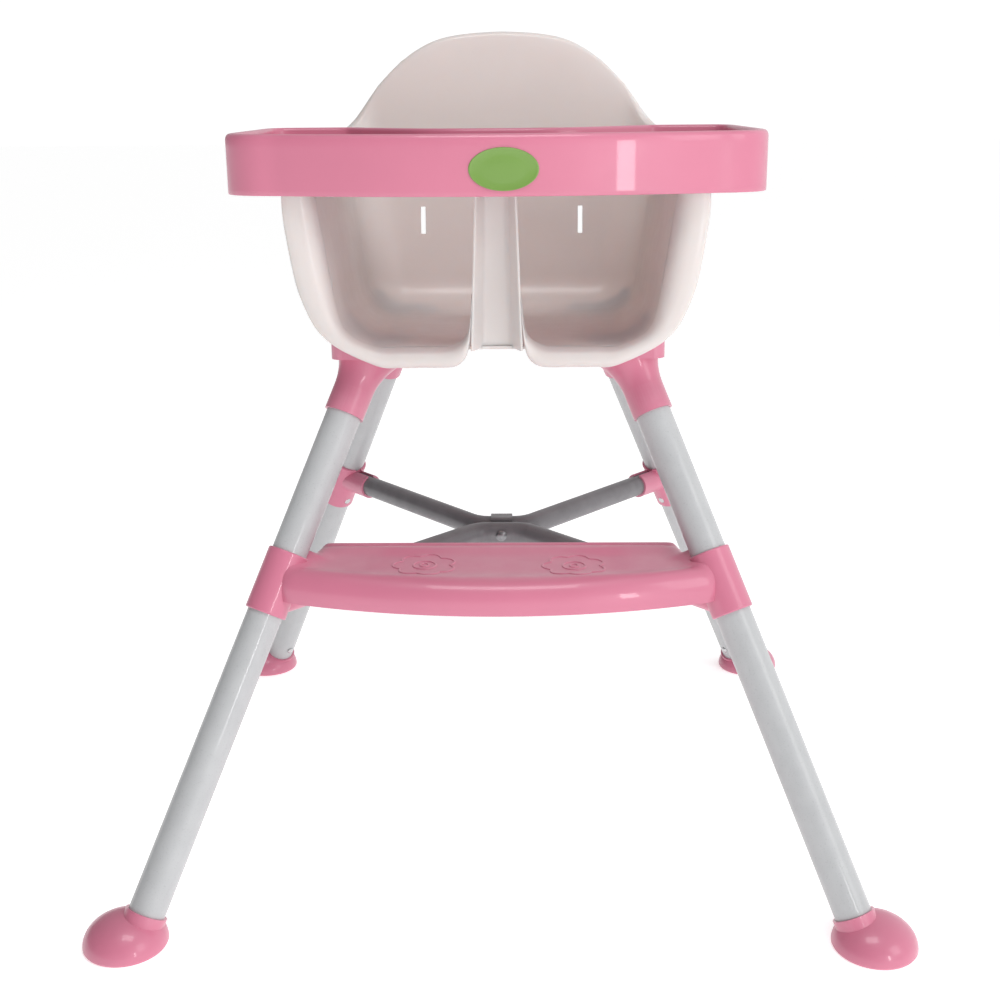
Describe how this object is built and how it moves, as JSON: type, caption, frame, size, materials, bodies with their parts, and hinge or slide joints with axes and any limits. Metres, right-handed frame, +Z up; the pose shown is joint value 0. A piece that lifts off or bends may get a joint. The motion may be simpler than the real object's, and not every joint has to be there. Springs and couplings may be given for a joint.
{
  "type": "baby high chair",
  "caption": "Free-standing baby high chair: moulded bucket seat with crotch post on splayed tube legs, slide-on tray, D-shaped footrest and X brace.",
  "frame": {"origin": "on the floor, under the middle of the leg frame", "axes": "+Z up; the sitter faces -Y; +X is to the right of someone who stands in front of the chair and looks along +Y"},
  "size_m": [0.7814, 0.7584, 0.845],
  "materials": {
    "seat_plastic": "smooth satin, slightly translucent off-white polypropylene",
    "coloured_plastic": "glossy raspberry pink moulded plastic",
    "badge_plastic": "plain glossy green oval plate",
    "tube_paint": "smooth white powder coat",
    "brace_paint": "smooth mid grey powder coat",
    "button_steel": "bright plated steel",
    "spring_steel": "blued spring steel strip",
    "fastener_steel": "zinc-plated steel"
  },
  "bodies": {
    "chair": {"brace_bolt": "fastener_steel", "brace_nut": "fastener_steel", "brace_saddle": "brace_paint", "brace_tube_front": "brace_paint", "brace_tube_rear": "brace_paint", "foot_button_spring_front_left": "spring_steel", "foot_button_spring_front_right": "spring_steel", "foot_button_spring_rear_left": "spring_steel", "foot_button_spring_rear_right": "spring_steel", "foot_front_left": "coloured_plastic", "foot_front_right": "coloured_plastic", "foot_rear_left": "coloured_plastic", "foot_rear_right": "coloured_plastic", "footrest": "coloured_plastic", "footrest_screws": "fastener_steel", "leg_button_spring_front_left": "spring_steel", "leg_button_spring_front_right": "spring_steel", "leg_button_spring_rear_left": "spring_steel", "leg_button_spring_rear_right": "spring_steel", "leg_connector_front_left": "coloured_plastic", "leg_connector_front_right": "coloured_plastic", "leg_connector_rear_left": "coloured_plastic", "leg_connector_rear_right": "coloured_plastic", "leg_socket_front_left": "coloured_plastic", "leg_socket_front_right": "coloured_plastic", "leg_socket_rear_left": "coloured_plastic", "leg_socket_rear_right": "coloured_plastic", "lower_leg_tube_front_left": "tube_paint", "lower_leg_tube_front_right": "tube_paint", "lower_leg_tube_rear_left": "tube_paint", "lower_leg_tube_rear_right": "tube_paint", "seat_shell": "seat_plastic", "socket_screws": "fastener_steel", "upper_leg_tube_front_left": "tube_paint", "upper_leg_tube_front_right": "tube_paint", "upper_leg_tube_rear_left": "tube_paint", "upper_leg_tube_rear_right": "tube_paint"},
    "tray": {"tray": "coloured_plastic", "tray_badge": "badge_plastic"},
    "leg_button_front_left": {"leg_button_front_left": "button_steel"},
    "foot_button_front_left": {"foot_button_front_left": "button_steel"},
    "leg_button_front_right": {"leg_button_front_right": "button_steel"},
    "foot_button_front_right": {"foot_button_front_right": "button_steel"},
    "leg_button_rear_left": {"leg_button_rear_left": "button_steel"},
    "foot_button_rear_left": {"foot_button_rear_left": "button_steel"},
    "leg_button_rear_right": {"leg_button_rear_right": "button_steel"},
    "foot_button_rear_right": {"foot_button_rear_right": "button_steel"}
  },
  "joints": [
    {"name": "tray_slide", "type": "slide", "parent": "chair", "child": "tray", "axis": [0, -1, 0], "range_m": [0, 0.27]},
    {"name": "leg_button_front_left_press", "type": "slide", "parent": "chair", "child": "leg_button_front_left", "axis": [-0.6156, -0.5913, 0.521], "range_m": [0, 0.0044], "stiffness_N_per_m": 1500, "springref_m": -0.002, "deforming": ["leg_button_spring_front_left"]},
    {"name": "foot_button_front_left_press", "type": "slide", "parent": "chair", "child": "foot_button_front_left", "axis": [-0.6156, -0.5913, 0.521], "range_m": [0, 0.0046], "stiffness_N_per_m": 1500, "springref_m": -0.002, "deforming": ["foot_button_spring_front_left"]},
    {"name": "leg_button_front_right_press", "type": "slide", "parent": "chair", "child": "leg_button_front_right", "axis": [0.6156, -0.5913, 0.521], "range_m": [0, 0.0044], "stiffness_N_per_m": 1500, "springref_m": -0.002, "deforming": ["leg_button_spring_front_right"]},
    {"name": "foot_button_front_right_press", "type": "slide", "parent": "chair", "child": "foot_button_front_right", "axis": [0.6156, -0.5913, 0.521], "range_m": [0, 0.0046], "stiffness_N_per_m": 1500, "springref_m": -0.002, "deforming": ["foot_button_spring_front_right"]},
    {"name": "leg_button_rear_left_press", "type": "slide", "parent": "chair", "child": "leg_button_rear_left", "axis": [-0.599, 0.605, 0.5246], "range_m": [0, 0.0044], "stiffness_N_per_m": 1500, "springref_m": -0.002, "deforming": ["leg_button_spring_rear_left"]},
    {"name": "foot_button_rear_left_press", "type": "slide", "parent": "chair", "child": "foot_button_rear_left", "axis": [-0.599, 0.605, 0.5246], "range_m": [0, 0.0046], "stiffness_N_per_m": 1500, "springref_m": -0.002, "deforming": ["foot_button_spring_rear_left"]},
    {"name": "leg_button_rear_right_press", "type": "slide", "parent": "chair", "child": "leg_button_rear_right", "axis": [0.599, 0.605, 0.5246], "range_m": [0, 0.0044], "stiffness_N_per_m": 1500, "springref_m": -0.002, "deforming": ["leg_button_spring_rear_right"]},
    {"name": "foot_button_rear_right_press", "type": "slide", "parent": "chair", "child": "foot_button_rear_right", "axis": [0.599, 0.605, 0.5246], "range_m": [0, 0.0046], "stiffness_N_per_m": 1500, "springref_m": -0.002, "deforming": ["foot_button_spring_rear_right"]}
  ]
}
